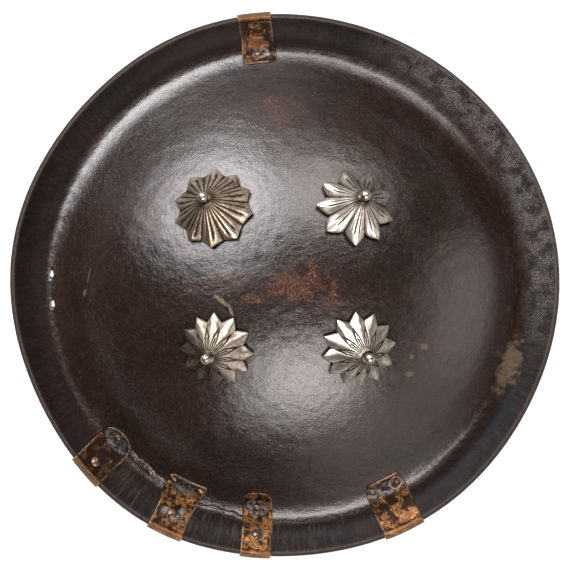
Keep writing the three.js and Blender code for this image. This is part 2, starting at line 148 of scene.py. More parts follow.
# Surface of the shield


def arc_drop(start, fall, bend, run):
    """Change of height along an arc from one fall angle to another."""
    straight = np.abs(bend) < STRAIGHT
    along_arc = (np.cos(fall) - np.cos(start)) / np.where(straight, 1.0, bend)
    return np.where(straight, -np.tan(start) * run, along_arc)


def face_arcs():
    """Heights at the stations of the chain of tangent arcs, with each arc's bend."""
    runs = np.diff(STATION_RADII)
    bends = np.diff(np.sin(STATION_FALLS)) / runs
    drops = arc_drop(STATION_FALLS[:-1], STATION_FALLS[1:], bends, runs)
    heights = np.concatenate([[0.0], np.cumsum(drops)])
    return heights + (VALLEY_FACE_Z - heights[VALLEY_STATION]), bends


STATION_HEIGHTS, ARC_BENDS = face_arcs()


def section(radius):
    """Height and fall angle of the face at each radius."""
    radius = np.asarray(radius, float)
    arc = np.clip(np.searchsorted(STATION_RADII, radius, side="right") - 1, 0, len(ARC_BENDS) - 1)
    start, bend = STATION_FALLS[arc], ARC_BENDS[arc]
    run = radius - STATION_RADII[arc]
    fall = np.arcsin(np.clip(np.sin(start) + bend * run, -1, 1))
    return STATION_HEIGHTS[arc] + arc_drop(start, fall, bend, run), fall


def outline_factor(azimuth):
    """Share of the mean radius that the hand-cut outline has at an azimuth in radians."""
    factor = 1.0
    for count, height, crest in RIM_WAVES:
        factor = factor + height / RIM_RADIUS * np.cos(count * azimuth - math.radians(crest))
    return factor * OUTLINE_EASE


def around(reach, azimuth, height):
    """Points at a distance from an axis, an azimuth in radians and a height."""
    x, y = reach * np.cos(azimuth), reach * np.sin(azimuth)
    return np.stack(np.broadcast_arrays(x, y, height), axis=-1)


def on_skin(radius, azimuth, lift):
    """Points at a radius on the face, lifted square to it; a negative lift goes in."""
    height, fall = section(radius)
    reach = (radius + lift * np.sin(fall)) * outline_factor(azimuth)
    return around(reach, azimuth, height + lift * np.cos(fall))


def seat_axes(radius, azimuth):
    """Origin and axes of a frame on the face: outward down the slope, across, and out."""
    fall = float(section(radius)[1])
    down_slope = around(math.cos(fall), azimuth, -math.sin(fall))
    normal = around(math.sin(fall), azimuth, math.cos(fall))
    axes = np.stack([down_slope, np.cross(normal, down_slope), normal])
    return on_skin(radius, azimuth, 0.0), axes


def seen_at(across, down):
    """Place on the face, in millimetres, that the camera sees at a pixel of the photo."""
    raw = np.array([across - OUTLINE_MIDDLE[0], OUTLINE_MIDDLE[1] - down]) * PIXEL
    place = raw
    for _ in range(4):
        height = float(section(min(np.hypot(*place), FACE_END))[0])
        place = raw * (CAMERA_HEIGHT - height) / (CAMERA_HEIGHT - OUTLINE_HEIGHT)
    return place


# Noise and soft edges for shapes


class Lattice:
    """Smooth seeded noise between -1 and 1 on a plane."""

    def __init__(self, seed, cell, cells=96):
        self.values = np.random.default_rng(seed).uniform(-1, 1, (cells, cells))
        self.cell = cell
        self.cells = cells

    def at(self, x, y):
        u, v = np.asarray(x) / self.cell, np.asarray(y) / self.cell
        i, j = np.floor(u).astype(int), np.floor(v).astype(int)
        s, t = u - i, v - j
        s, t = s * s * (3 - 2 * s), t * t * (3 - 2 * t)
        i, j = i % self.cells, j % self.cells
        i2, j2 = (i + 1) % self.cells, (j + 1) % self.cells
        low = self.values[i, j] * (1 - s) + self.values[i2, j] * s
        high = self.values[i, j2] * (1 - s) + self.values[i2, j2] * s
        return low * (1 - t) + high * t


def rising(value, low, high):
    """Rises softly from 0 at the low value to 1 at the high one."""
    share = np.clip((np.asarray(value, float) - low) / (high - low), 0, 1)
    return share * share * (3 - 2 * share)


def bell(value, width):
    """A soft bump that is 1 at zero and about a third of that one width away."""
    return np.exp(-((value / width) ** 2))


# Meshes


def add_object(name, data):
    thing = bpy.data.objects.new(name, data)
    bpy.context.scene.collection.objects.link(thing)
    return thing


def add_mesh(name, points, faces, attributes=None):
    """A smooth-shaded object from points in millimetres; attributes are per point."""
    mesh = bpy.data.meshes.new(name)
    mesh.from_pydata((points.reshape(-1, 3) * MM).tolist(), [], faces)
    mesh.polygons.foreach_set("use_smooth", [True] * len(mesh.polygons))
    for key, values in (attributes or {}).items():
        layer = mesh.attributes.new(key, "FLOAT", "POINT")
        layer.data.foreach_set("value", values.astype(np.float32))
    mesh.update()
    return add_object(name, mesh)


class Rings:
    """Rings of points stacked into a surface, with named marks on every point."""

    def __init__(self, *names):
        self.points = []
        self.marks = {name: [] for name in names}

    def add(self, points, **marks):
        """Adds a ring; a mark that isn't given is 0."""
        self.points.append(points)
        for name, values in self.marks.items():
            values.append(np.broadcast_to(marks.get(name, 0.0), len(points)))

    def attributes(self):
        return {name: np.concatenate(values) for name, values in self.marks.items()}


def loft_faces(rings, sides, closed_along=False):
    """Quads between consecutive rings of points, each ring closed on itself."""
    faces = []
    for row in range(rings if closed_along else rings - 1):
        low, high = row * sides, ((row + 1) % rings) * sides
        for i in range(sides):
            j = (i + 1) % sides
            faces.append((low + i, low + j, high + j, high + i))
    return faces


def pole_solid(name, rings, bottom, top, attributes=None):
    """A solid of stacked rings with one point at either end."""
    rows, sides = rings.shape[:2]
    points = np.concatenate([rings.reshape(-1, 3), [bottom], [top]])
    faces = loft_faces(rows, sides)
    low, high = rows * sides, rows * sides + 1
    last = (rows - 1) * sides
    for i in range(sides):
        j = (i + 1) % sides
        faces.append((low, j, i))
        faces.append((high, last + i, last + j))
    return add_mesh(name, points, faces, attributes)


def turned_piece(name, profile, seat, sides=40, wobble=0.0, marked=(0, -1)):
    """A lathe piece on a seat, from pole to pole, marked with 1 between two heights."""
    origin, axes = seat
    profile = np.asarray(profile, float)
    radius, height = profile[1:-1, :1], profile[1:-1, 1:]
    within = (height >= marked[0]) & (height <= marked[1])
    attributes = {"marked": np.append(np.repeat(within.astype(float), sides), [0, 0])}
    angle = np.linspace(0, 2 * np.pi, sides, endpoint=False)
    radius = radius * (1 + wobble * np.sin(3 * angle + height))
    rings = origin + around(radius, angle, height) @ axes
    bottom, top = origin + profile[0][1] * axes[2], origin + profile[-1][1] * axes[2]
    return pole_solid(name, rings, bottom, top, attributes)


def finish_piece(piece, node, material):
    piece.data.materials.append(material)
    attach(piece, "root")
    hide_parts(node)


# Hide

FINE_SECTOR = (224.0, 263.0)
FINE_STEP = 0.17
COARSE_COLUMNS = 270
FACE_SPANS = [(0, DOME_FOOT, 50), (DOME_FOOT, 204, 14), (204, 219, 42)]  # with their rings
EDGE_RUN = 1.4  # wider than the worn corners are deep
LIP_OFFSET = 1.3
LIP_WIDTH = 1.0
CUTTER_REACH = 14.0
UNEVEN_WIDE = Lattice(3, 70)
UNEVEN_NEAR = Lattice(4, 24)
RIM_NICKS = Lattice(5, 7)
CRACK_JITTER = Lattice(6, 3.2)


def hide_azimuths():
    """Columns round the shield, closer together where the cracks are."""
    low, high = FINE_SECTOR
    fine = np.arange(low, high, FINE_STEP)
    coarse = np.linspace(high, low + 360, COARSE_COLUMNS, endpoint=False)
    return np.radians(np.concatenate([fine, coarse]))


def hide_radii():
    """Rings on the face from the crown to the rim, closer at the foot and the brim."""
    spans = [np.linspace(*span, endpoint=False) for span in FACE_SPANS]
    return np.concatenate([*spans, np.linspace(219, FACE_END - EDGE_RUN, 24)])[1:]


def polyline_distance(x, y, path):
    """Distance to a path of azimuths and radii, outward positive, and place along it."""
    corners = [around(radius, math.radians(azimuth), 0.0)[:2] for azimuth, radius in path]
    best, signed, place = np.full((3, *x.shape), 1e9)
    for i, ((ax, ay), (bx, by)) in enumerate(zip(corners, corners[1:])):
        dx, dy = bx - ax, by - ay
        share = np.clip(((x - ax) * dx + (y - ay) * dy) / (dx * dx + dy * dy), 0, 1)
        px, py = ax + share * dx, ay + share * dy
        distance = np.hypot(x - px, y - py)
        outward = np.sign(np.hypot(x, y) - np.hypot(px, py))
        closer = distance < best
        best = np.where(closer, distance, best)
        signed = np.where(closer, distance * outward, signed)
        place = np.where(closer, (i + share) / (len(corners) - 1), place)
    return signed, place


def crack_relief(x, y, path, depth, width, inner_lip, outer_lip):
    """Lift along a crack with a lip on either side, how open it is, and its torn lips."""
    distance, along = polyline_distance(x, y, path)
    distance = distance + 0.9 * CRACK_JITTER.at(x, y) + 0.4 * CRACK_JITTER.at(x * 2.7, y * 2.7)
    fade = rising(along, 0, 0.08) * (1 - rising(along, 0.95, 1))
    groove = bell(distance, width) * fade
    inside = bell(distance + LIP_OFFSET, LIP_WIDTH) * fade
    outside = bell(distance - LIP_OFFSET, LIP_WIDTH) * fade
    torn = np.clip(inner_lip * inside + outer_lip * outside, 0, 1)
    return -depth * groove + inner_lip * inside + outer_lip * outside, groove, torn


def hide_relief(x, y, radius):
    """Lift of the face above the drawn section, the painted shade in its open cracks, and how
    torn.
    """
    lift = 0.3 * UNEVEN_WIDE.at(x, y) + 0.12 * UNEVEN_NEAR.at(x, y)
    brim = rising(radius, 222, 244)
    lift = lift + 0.22 * brim * UNEVEN_NEAR.at(x * 1.9 + 40, y * 1.9)
    left, left_open, left_torn = crack_relief(x, y, CRACK_LEFT, 0.5, 0.35, 0.55, 0.1)
    bottom, bottom_open, bottom_torn = crack_relief(x, y, CRACK_BOTTOM, 2.0, 0.55, 0.1, 0.5)
    torn = np.maximum(1.6 * left_torn, bottom_torn)
    return lift + left + bottom, np.maximum(0.6 * left_open, bottom_open), torn


def build_hide():
    azimuth = hide_azimuths()
    edge_turn = math.radians(BRIM_TILT)
    rings = Rings("face", "cracked", "torn", "edge_wear")
    # Back, from its middle to the rim
    back = [np.linspace(8, 196, 26), np.linspace(202, FACE_END - EDGE_RUN, 16)]
    for radius in np.concatenate(back):
        points = on_skin(radius, azimuth, -HIDE_WALL)
        points[:, 2] += 0.08 * UNEVEN_NEAR.at(points[:, 0] + 900, points[:, 1])
        rings.add(points)
    # Cut edge, with both corners worn round
    for share in (0.0, 0.08, 0.25, 0.5, 0.75, 0.92, 1.0):
        rounding = 0.8 * (abs(2 * share - 1) ** 4)
        points = on_skin(FACE_END, azimuth, -HIDE_WALL * (1 - share))
        nick = 0.25 * RIM_NICKS.at(points[:, 0] * 1.2, points[:, 1] * 1.2)
        inward = rounding + np.abs(nick) * (0.4 + share * 0.6)
        points -= around(inward * math.cos(edge_turn), azimuth, inward * math.sin(edge_turn))
        rings.add(points, face=share, edge_wear=rising(share, 0.5, 0.95))
    # Face, from the rim to the crown
    for radius in hide_radii()[::-1]:
        flat = on_skin(radius, azimuth, 0.0)
        lift, cracked, torn = hide_relief(flat[:, 0], flat[:, 1], radius)
        ease = min(1.0, (FACE_END - radius) / 3)
        wear = bell(FACE_END - radius, EDGE_RUN)
        points = on_skin(radius, azimuth, lift * ease)
        rings.add(points, face=1.0, cracked=cracked, torn=torn, edge_wear=wear)
    bottom, crown = on_skin(0.0, 0.0, -HIDE_WALL), on_skin(0.0, 0.0, 0.0)
    attributes = {
        key: np.append(values, [0, float(key == "face")])
        for key, values in rings.attributes().items()
    }
    hide = pole_solid("lacquered_hide", np.array(rings.points), bottom, crown, attributes)
    cut_oval_holes(hide)
    return hide


def cut_oval_holes(hide):
    """Cuts the two ragged oval holes through the foot of the dome."""
    angle = np.linspace(0, 2 * np.pi, 28, endpoint=False)
    oval = (OVAL_HOLE["width"] / 2, OVAL_HOLE["height"] / 2, 1.0)
    for number, azimuth in enumerate(OVAL_HOLE_AZIMUTHS):
        origin, axes = seat_axes(OVAL_HOLE["radius"], math.radians(azimuth))
        ragged = 1 + 0.07 * np.sin(3 * angle + number) + 0.05 * np.sin(5 * angle)
        rings = []
        for height in (-CUTTER_REACH, -HIDE_WALL / 2, 0.0, CUTTER_REACH):
            flare = ragged * (1 + 0.1 * rising(height, -1.5, 0.5))
            rings.append(origin + (around(flare, angle, height) * oval) @ axes)
        end = CUTTER_REACH * axes[2]
        cutter = pole_solid(f"hole_cutter_{number}", np.array(rings), origin - end, origin + end)
        modifier = hide.modifiers.new("hole", "BOOLEAN")
        modifier.operation = "DIFFERENCE"
        modifier.solver = "EXACT"
        modifier.object = cutter
        apply_modifiers(hide)
        bpy.data.objects.remove(cutter)


def apply_modifiers(piece):
    graph = bpy.context.evaluated_depsgraph_get()
    mesh = bpy.data.meshes.new_from_object(piece.evaluated_get(graph))
    old = piece.data
    piece.modifiers.clear()
    piece.data = mesh
    mesh.name = old.name
    bpy.data.meshes.remove(old)


# Bosses

PETAL_COLUMNS = 36
CONE_FALL = 33.0  # of the cone's height over its whole slope, near the tips
TIPS_START = 0.72  # share of the radius from which the outline runs into points
BOSS_DENTS = Lattice(11, 9)


def notch_radius(boss):
    return boss["tip_radius"] * boss["notch"]


def petal_columns(boss, azimuth, fall):
    """Angle of each column and its signed place across its petal, -1 to 1."""
    seen = np.radians(boss["tips"]) - azimuth
    tips = np.arctan2(np.sin(seen) * math.cos(fall), np.cos(seen))
    steps = -((tips - np.roll(tips, -1)) % (2 * np.pi))
    share = np.arange(PETAL_COLUMNS) / PETAL_COLUMNS
    angles = tips[:, None] + steps[:, None] * share
    across = np.tile(np.where(share < 0.5, 2 * share, 2 * share - 2), len(tips))
    return angles.ravel()[::-1], across[::-1]


# Each petal gives its relief and a dark mask: dark brown in its grooves and lines, partly brown
# oxide and partly painted shade, and painted shade between the petals at the tips
def fluted_petal(share, across):
    """Three ribs side by side from the apex to a plain, spoon-shaped tip."""
    wide = np.abs(across)
    grooves = 1 - np.abs(np.sin(np.pi * 3 * (across + 1) / 2))
    flat_tip = rising(share, 0.85, 1.0)
    depth = 1.4 * rising(share, 0.05, 0.5) * (1 - flat_tip)
    spoon = 0.8 * flat_tip * (wide**2 - 0.4) * (wide < 0.9)
    dark = rising(share, 0.03, 0.2) * grooves**0.75 * (1 - flat_tip)
    # Painted shade at the edges of the spoon-shaped tip, between the tips
    dark = dark + 0.8 * rising(wide, 0.72, 1) * flat_tip
    return -depth * grooves + spoon, dark


def leaf_petal(share, across):
    """A leaf with a raised rim along each side and two grooves down its middle."""
    wide = np.abs(across)
    ramp = rising(share, 0.15, 0.4)
    groove = bell(wide - 0.24, 0.08) * (1 - rising(share, 0.8, 0.93))
    rim = bell(wide - 0.78, 0.12)
    # The valley between leaves is sunk and painted as shade
    valley = rising(wide, 0.86, 1.0)
    relief = ramp * (0.55 * rim - 0.7 * groove - 0.9 * valley)
    return relief, np.clip(ramp * 1.3 * groove + 1.2 * valley, 0, 1)


def double_petal(share, across):
    """A rounded petal; narrow ribs over the notches run in between the petals."""
    wide = np.abs(across)
    ramp = rising(share, 0.06, 0.35)
    inner = 1 - rising(share, 0.78, 0.92)
    line_place = 0.36 + 0.64 * rising(share, 0.35, 0.9)
    width = 0.22 - 0.07 * rising(share, 0.25, 0.6)
    line = bell(wide - line_place, width) * inner
    notch = bell(wide - 1, width) * (1 - rising(share, 0.5, 0.66))
    # Painted shade in the gaps between the tips
    gap = rising(wide, 0.85, 1.0) * (1 - inner)
    swell = (1 - wide**2) * (0.95 - 0.45 * inner)
    lines = np.clip(line + notch, 0, 1)
    relief = ramp * (1.2 * inner + swell - 0.75 * lines)
    return relief, np.clip(ramp * 1.3 * lines + 0.8 * gap, 0, 1)


# Petals of each style: their relief, the notches' share of the radius, how pointed the
# tips are, how much the crown swells, and how far the notches rise to the petals
PETAL_STYLES = {
    "fluted": dict(petal=fluted_petal, notch=0.85, point=1.5, crown=1.0, fullness=0.35),
    "leaves": dict(petal=leaf_petal, notch=0.7, point=0.9, crown=0.7, fullness=0.4),
    "double": dict(petal=double_petal, notch=0.76, point=1.3, crown=0.0, fullness=0.78),
}


def tip_outline(boss, wide):
    """Share of a tip's reach beyond the notches; wide is 0 in a petal's middle."""
    if boss["style"] == "double":
        return 0.55 * (1 - wide) ** 2.2 + 0.45 * (1 - wide**2)
    return (1 - wide) ** boss["point"]


def petal_distance(boss, share, wide):
    """Distance from a boss's axis at a share of its radius."""
    notch = notch_radius(boss)
    pointed = rising(share, TIPS_START, 1.0)
    outline = pointed * tip_outline(boss, wide) + (1 - pointed) * 0.75 * (1 - wide**2) ** 2
    return share * (notch + (boss["tip_radius"] - notch) * outline * share**2)


def tip_shoulder(boss, share, wide):
    """Lift beside a tip's ridge, where the outline runs into a point."""
    notch = notch_radius(boss)
    reach = boss["tip_radius"] - notch
    ridge = CONE_FALL * reach * boss["point"] * share**3
    ridge = ridge * rising(share, TIPS_START, 1.0) / (notch + 3 * reach * share**2)
    return ridge * wide * bell(wide, 0.42) * (1 - rising(share, 0.97, 1.0))


def boss_surface(boss, angle, across, share, outer):
    """Local points of a boss's outer or inner surface at a share of its radius."""
    wide = np.abs(across)
    relief, groove = boss["petal"](share, across)
    distance = petal_distance(boss, share, wide)
    middle = np.linspace(0, 1, 80)
    even_share = np.interp(distance, petal_distance(boss, middle, 0.0), middle)
    level = share + boss["fullness"] * (even_share - share)
    cone = (BOSS_HEIGHT - BOSS_WALL) * (1 - level * (0.8 + 0.2 * level))
    ramp = rising(share, 0.1, 0.75)
    crown = BOSS_RISE * ramp * (1 - wide**2) ** 0.8 * boss["crown"]
    lift = TIP_LIFT * (1 - wide**2) ** 3 * rising(share, 0.7, 1)
    shoulder = (1 - boss["fullness"]) * tip_shoulder(boss, share, wide)
    x, y = distance * np.cos(angle), distance * np.sin(angle)
    dent = 0.15 * BOSS_DENTS.at(x + boss["x"] * 3, y + boss["y"] * 3) * ramp
    drop = DOME_SPHERE - np.sqrt(DOME_SPHERE**2 - distance**2)
    z = FIT_GAP + cone + crown + lift - drop + dent + shoulder
    if outer:
        z = z + APEX_WALL + (BOSS_WALL - APEX_WALL) * share + relief
    return np.stack([x, y, z], axis=-1), groove


def build_boss(boss, material):
    """Builds one boss and gives the seat that it shares with its bolt and washer."""
    boss = boss | PETAL_STYLES[boss["style"]]
    radius = math.hypot(boss["x"], boss["y"])
    azimuth = math.atan2(boss["y"], boss["x"])
    seat = seat_axes(radius / outline_factor(azimuth), azimuth)
    angle, across = petal_columns(boss, azimuth, float(section(radius)[1]))
    # Painted shade over the side of the boss that catches less light
    side, strength = boss["tarnish"]
    towards = np.cos(angle + azimuth - math.radians(side))
    tarnish = strength * rising(towards, -0.3, 0.7)
    hole = (BOLT_SHANK + 0.1) / notch_radius(boss)
    under = hole + (1 - hole) * np.linspace(0, 1, 14)
    over = hole + (1 - hole) * np.linspace(0, 1, 60) ** 0.9
    rings = Rings("groove", "share", "tarnish")
    for share, outer in [(s, False) for s in under] + [(s, True) for s in over[::-1]]:
        points, groove = boss_surface(boss, angle, across, share, outer)
        # The inner surface is painted fully dark, as shade under the boss
        rings.add(points, groove=groove if outer else 1.0, share=share, tarnish=tarnish)
    points = seat[0] + np.array(rings.points) @ seat[1]
    faces = loft_faces(len(points), len(angle), closed_along=True)
    name = f"flower_boss_{boss['name']}"
    piece = add_mesh(name, points, faces, rings.attributes())
    finish_piece(piece, f"boss_{boss['name']}", material)
    return seat


def bolt_profile():
    """From the hammered end, along the shank and the collar, to the top of the ball."""
    apex = BOSS_HEIGHT - BOSS_WALL + APEX_WALL + 0.2
    seat = WASHER_BACK - 0.05
    collar_top = apex + COLLAR["thickness"] + FIT_GAP
    centre = collar_top + NECK["height"] + BALL_RADIUS * 0.8
    radius, height = PEENED_END["radius"], PEENED_END["height"]
    profile = [(0, seat - height)]
    profile += [(radius * s, seat - height * math.sqrt(1 - s * s)) for s in (0.3, 0.6, 0.8, 0.95)]
    profile += [(radius, seat), (BOLT_SHANK, seat), (BOLT_SHANK, apex)]
    edge = COLLAR["radius"]
    profile += [(edge - 0.3, apex), (edge, apex + 0.4), (edge - 0.2, collar_top - 0.4)]
    profile += [(edge - 0.9, collar_top), (NECK["radius"] + 0.5, collar_top + 0.05)]
    for turn in np.radians(np.linspace(-52, 82, 16)):
        profile.append((BALL_RADIUS * math.cos(turn), centre + BALL_RADIUS * math.sin(turn)))
    profile.append((0, centre + BALL_RADIUS))
    return profile


def washer_profile():
    top = -(HIDE_WALL + 0.1)
    radius = WASHER["radius"]
    return [(0, WASHER_BACK), (radius - 0.8, WASHER_BACK), (radius - 0.2, WASHER_BACK + 0.3),
            (radius, WASHER_BACK + 0.8), (radius - 0.1, top), (0, top)]


# Straps

INNER_LIFT = 0.12  # of a strap's inner side off the hide
BACK_EASE = 0.02  # keeps the straps' backs just clear of the floor
STRAP_DENT = 0.16
STRAP_DENTS = Lattice(21, 8)
STRAP_EDGES = Lattice(22, 2.5)


def strap_path(strap):
    """Radius, share of the depth and turn of each step: face, edge, then back."""
    inner = strap["outline"][0][0]
    face = inner + (FACE_END - inner) * np.linspace(0, 1, 110) ** 1.15
    path = [(radius, 0.0, 0.0) for radius in face]
    path += [(FACE_END, 0.0, turn) for turn in np.linspace(0, 1, 8)[1:]]
    path += [(FACE_END, share, 1.0) for share in np.linspace(0, 1, 10)[1:-1]]
    path += [(FACE_END, 1.0, 1.0 + turn) for turn in np.linspace(0, 1, 8)]
    path += [(radius, 1.0, 2.0) for radius in face[::-3]]
    return path


def strap_point(step, azimuth, lift):
    """Points off the hide at a step; its turn is 0 on the face and 2 on the back."""
    radius, depth_share, turn = step
    height, fall = section(radius)
    depth = depth_share * HIDE_WALL
    angle = np.pi / 2 - fall - turn * np.pi / 2
    reach = (radius - depth * np.sin(fall) + lift * np.cos(angle)) * outline_factor(azimuth)
    return around(reach, azimuth, height - depth * np.cos(fall) + lift * np.sin(angle))


def patch_amount(places, across, radius):
    """Ragged masks over oval places of a strap: across, out, half width, half height."""
    amount = np.zeros_like(across)
    for middle, distance, half_width, half_height in places:
        ragged = 0.18 * STRAP_DENTS.at(across * 3 + distance, radius * 3)
        gap = np.hypot((across - middle) / half_width, (radius - distance) / half_height)
        amount = np.maximum(amount, 1 - rising(gap + ragged, 0.8, 1.05))
    return amount


def strap_marks(strap, across, radius, turn, edge_gap):
    """Attributes of one row of a strap's points, and the relief that goes with them."""
    on_face = float(turn < 0.5)
    corner_gap = FACE_END - radius
    fold = float(0.2 < turn < 1.8) + on_face * bell(corner_gap, 1.0)
    # Painted shade along the sunk crease just inside the rim's edge
    crease = on_face * bell(corner_gap - 2.6, 0.65)
    relief = -0.3 * crease
    rubbed = STRAP_DENTS.at(across * 0.8, radius * 0.8 + 7)
    worn = np.exp(-edge_gap / 0.7) * rising(rubbed, -0.6, 0.3)
    for middle, distance in strap.get("chips", []):
        chip = bell(np.hypot(across - middle, radius - distance), 1.3)
        worn = np.maximum(worn, 1.6 * on_face * chip)
    for middle, distance, ring in strap.get("rings", []):
        on_ring = on_face * bell(np.hypot(across - middle, radius - distance) - ring, 0.6)
        worn = np.maximum(worn, on_ring)
        relief = relief + 0.2 * on_ring
    for step in strap.get("steps", []):
        relief = relief + 0.2 * on_face * (1 - rising(radius, step - 0.5, step + 0.5))
        # The foot of a step gets the same painted shade as the crease
        crease = crease + on_face * bell(radius - step - 0.6, 0.6)
    marks = {
        "edge": worn, "fold": fold, "crease": min(crease, 1.0), "dirt": strap.get("dirt", 0.0),
        "grey": on_face * patch_amount(strap["grey"], across, radius),
        "bare": on_face * patch_amount(strap.get("bare", []), across, radius),
    }
    return marks, relief


def build_strap(strap, material):
    rows = np.array(strap["outline"], float)
    share = np.linspace(-1, 1, 57)
    rings = Rings("edge", "grey", "fold", "crease", "bare", "dirt")
    middle = math.radians(strap["azimuth"])
    for step in strap_path(strap):
        radius, _, turn = step
        left, right = [np.interp(radius, rows[:, 0], rows[:, side]) for side in (1, 2)]
        ragged = 0.25 * STRAP_EDGES.at(radius * 1.3 + 50 * turn, middle * 40)
        across = (left + right) / 2 + share * ((right - left) / 2 + ragged)
        azimuth = middle + across / radius
        side_gap = (right - left) / 2 * (1 - np.abs(share))
        edge_gap = np.minimum(side_gap, radius - rows[0, 0] + 0.02)
        marks, relief = strap_marks(strap, across, radius, turn, edge_gap)
        rounding = 0.45 * np.exp(-edge_gap / 0.5)
        dent = STRAP_DENT * STRAP_DENTS.at(across + 13 * middle, radius + 90 * turn)
        level = STRAP_GAP + STRAP_WALL - BACK_EASE
        outer_lift = level - rounding + relief + (dent - STRAP_DENT) * (turn < 2)
        outer = strap_point(step, azimuth, outer_lift)
        inner = strap_point(step, azimuth, INNER_LIFT)
        for key, values in marks.items():
            values = np.broadcast_to(values, share.shape)
            marks[key] = np.concatenate([values, values[::-1]])
        rings.add(np.concatenate([outer, inner[::-1]]), **marks)
    points = np.array(rings.points)
    count, sides = points.shape[:2]
    faces = loft_faces(count, sides)
    last = (count - 1) * sides
    for i in range(sides // 2 - 1):
        faces.append((i + 1, i, sides - 1 - i, sides - 2 - i))
        faces.append((last + i, last + i + 1, last + sides - 2 - i, last + sides - 1 - i))
    name = f"rim_strap_{strap['name']}"
    piece = add_mesh(name, points, faces, rings.attributes())
    finish_piece(piece, f"strap_{strap['name']}", material)


def rivet_profile(kind):
    size = LARGE_HEAD if kind == "large" else RIVET
    shank, head, rise = RIVET["shank"], size["head"], size["rise"] + 0.25
    seat = STRAP_GAP + STRAP_WALL - 0.45
    end = -(HIDE_WALL + STRAP_GAP + STRAP_WALL)
    if kind == "flush":
        profile = [(0, end + FIT_GAP), (shank, end + FIT_GAP)]
    else:
        back, low = RIVET["back"], end - FIT_GAP - RIVET["back_rise"]
        profile = [(0, low), (back * 0.6, low + 0.1), (back * 0.95, low + 0.5), (back, end + 0.1)]
        profile += [(shank, end + 0.2)]
    profile += [(shank, seat), (head, seat), (head, seat + 0.3)]
    for s in (0.97, 0.88, 0.74, 0.55, 0.3):
        profile.append((head * s, seat + 0.3 + (rise - 0.3) * (1 - s * s) ** 0.6))
    profile.append((0, seat + rise))
    return profile


def build_rivets(strap, material):
    for number, (across, out, kind) in enumerate(strap["rivets"], 1):
        azimuth = math.radians(strap["azimuth"]) + math.atan2(across, out)
        seat = seat_axes(math.hypot(across, out) / outline_factor(azimuth), azimuth)
        name = f"{strap['name']}_{number}"
        piece = turned_piece(f"strap_rivet_{name}", rivet_profile(kind), seat, 32, wobble=0.05)
        finish_piece(piece, f"rivet_{name}", material)


# Materials

MIX_A, MIX_B, MIXED = 6, 7, 2  # numbers of the mix node's colour sockets


class Graph:
    """Short calls for building one material's node tree."""

    def __init__(self, name):
        self.material = bpy.data.materials.new(name)
        self.material.use_nodes = True
        self.tree = self.material.node_tree
        self.tree.nodes.clear()
        self.shader = self.node("BsdfPrincipled")
        self.node("OutputMaterial", {"Surface": self.shader.outputs[0]})
        self.position = self.scaled(self.node("TexCoord").outputs["Object"], 1 / MM)

    def node(self, kind, inputs=None, **settings):
        """A new shader node with its settings; its inputs are links or plain values."""
        node = self.tree.nodes.new("ShaderNode" + kind)
        for key, value in settings.items():
            setattr(node, key, value)
        for key, value in (inputs or {}).items():
            self.feed(node.inputs[key], value)
        return node

    def feed(self, socket, value):
        if isinstance(value, bpy.types.NodeSocket):
            self.tree.links.new(value, socket)
        elif value is not None:
            if socket.type == "RGBA" and len(value) == 3:
                value = (*value, 1.0)
            socket.default_value = value

    def set(self, name, value):
        self.feed(self.shader.inputs[name], value)

    def finished(self, metallic, roughness, normal):
        """The material, with the colour that was painted so far."""
        self.set("Base Color", self.colour)
        self.set("Metallic", metallic)
        self.set("Roughness", roughness)
        self.set("Normal", normal)
        return self.material

    def maths(self, operation, a, b, clamp=False):
        inputs = {0: a, 1: b}
        return self.node("Math", inputs, operation=operation, use_clamp=clamp).outputs[0]

    def chain(self, operation, values):
        result = values[0]
        for value in values[1:]:
            result = self.maths(operation, result, value)
        return result

    def total(self, *values):
        return self.chain("ADD", values)

    def product(self, *values):
        return self.chain("MULTIPLY", values)

    def vector(self, operation, a, b=None, second=1):
        node = self.node("VectorMath", {0: a, second: b}, operation=operation)
        return node.outputs["Value" if operation in ("LENGTH", "DOT_PRODUCT") else "Vector"]

    def scaled(self, a, scale):
        return self.vector("SCALE", a, scale, "Scale")

    def stretched(self, *factors):
        return self.vector("MULTIPLY", self.position, factors)

    def placed(self, kind, vector, turn, scale, location=(0.0, 0.0, 0.0)):
        """Coordinates moved, turned about the axis and scaled."""
        rotation = (0.0, 0.0, math.radians(turn))
        inputs = {"Vector": vector, "Location": location, "Rotation": rotation, "Scale": scale}
        return self.node("Mapping", inputs, vector_type=kind).outputs["Vector"]

    def noise(self, scale, detail=4.0, roughness=0.55, vector=None):
        inputs = {"Vector": vector or self.position, "Scale": scale, "Detail": detail,
                  "Roughness": roughness}
        return self.node("TexNoise", inputs).outputs["Fac"]

    def cells(self, scale, feature):
        inputs = {"Vector": self.position, "Scale": scale}
        return self.node("TexVoronoi", inputs, feature=feature).outputs["Distance"]

    def span(self, value, low, high, to_low=0.0, to_high=1.0, kind="SMOOTHSTEP"):
        """The value's place between low and high, as a number between the other two."""
        inputs = {"Value": value, "From Min": low, "From Max": high, "To Min": to_low,
                  "To Max": to_high}
        return self.node("MapRange", inputs, interpolation_type=kind).outputs["Result"]

    def mix(self, factor, a, b):
        inputs = {"Factor": factor, MIX_A: a, MIX_B: b}
        return self.node("Mix", inputs, data_type="RGBA", clamp_factor=True).outputs[MIXED]

    def paint(self, coat, *masks):
        """Lays a coat over the colour so far where the product of the masks is."""
        self.colour = self.mix(self.product(*masks), self.colour, coat)

    def attribute(self, name):
        return self.node("Attribute", attribute_name=name).outputs["Fac"]

    def bump(self, height, distance, strength, normal=None):
        inputs = {"Height": height, "Distance": distance, "Strength": strength, "Normal": normal}
        return self.node("Bump", inputs).outputs["Normal"]


